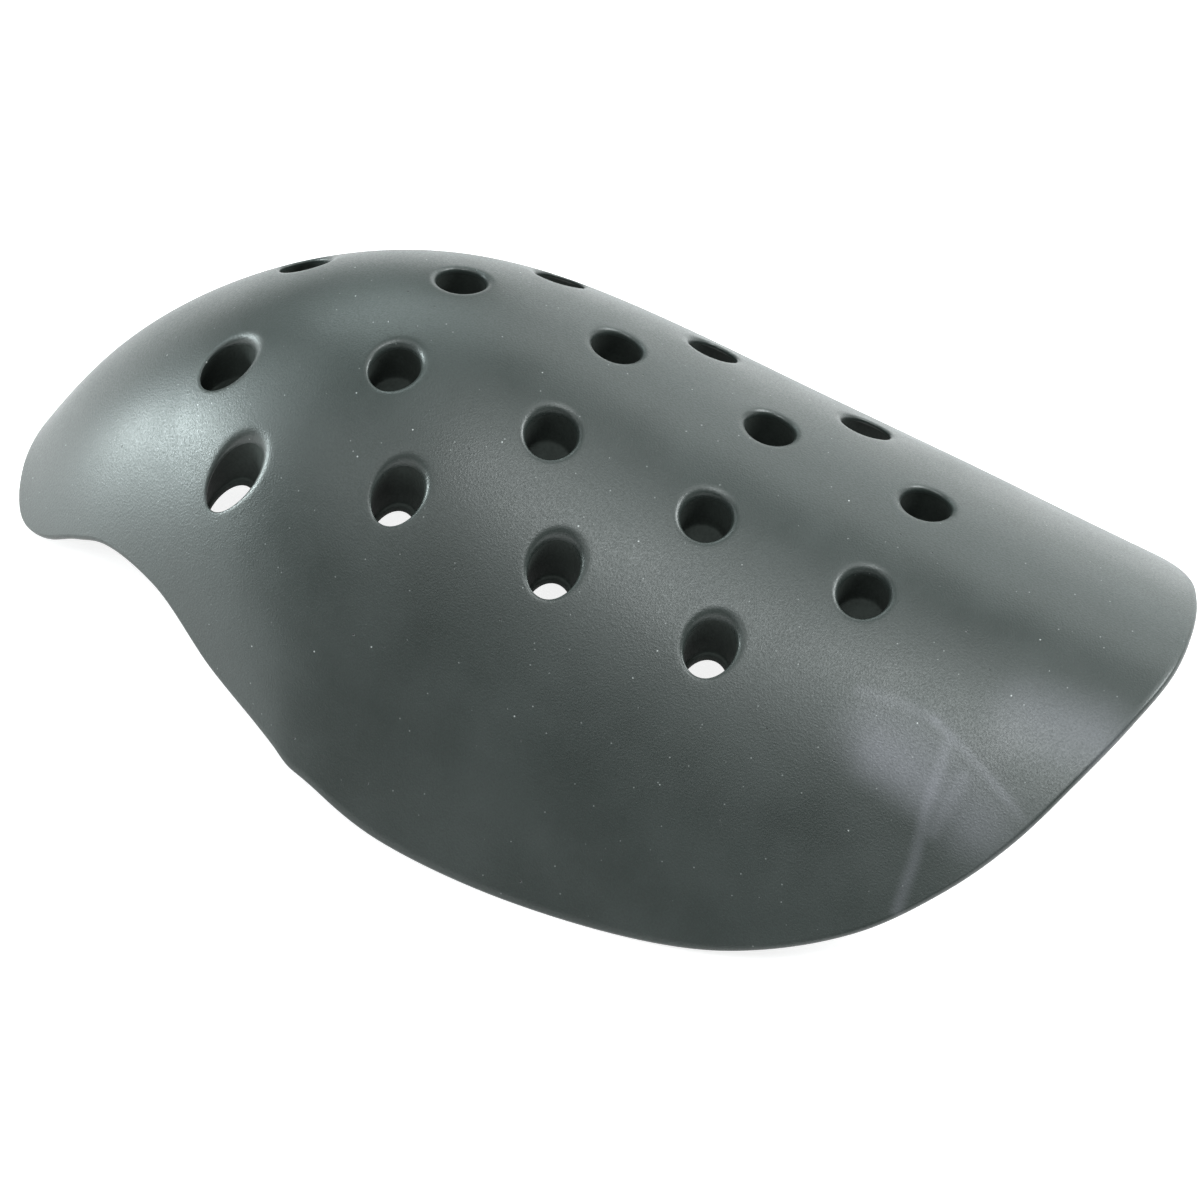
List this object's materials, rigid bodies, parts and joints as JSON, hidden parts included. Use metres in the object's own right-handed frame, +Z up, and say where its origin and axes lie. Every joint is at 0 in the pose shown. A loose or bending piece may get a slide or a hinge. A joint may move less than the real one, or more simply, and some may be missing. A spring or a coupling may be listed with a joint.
{
  "type": "shoulder protector pad",
  "caption": "One-piece moulded foam shoulder protector: perforated shell with a domed shoulder cup, flared wings and a rounded tongue over the upper arm.",
  "frame": {"origin": "on the surface the pad stands on, under the middle of its outline", "axes": "+X towards the rounded tongue that lies over the upper arm, -X towards the shoulder cup, +Z up, Y across the wings"},
  "size_m": [0.2364, 0.1372, 0.0686],
  "materials": {
    "moulded_foam": "matte dark grey moulded foam skin with a soft sheen"
  },
  "bodies": {
    "root": {"pad_shell": "moulded_foam"}
  },
  "joints": []
}
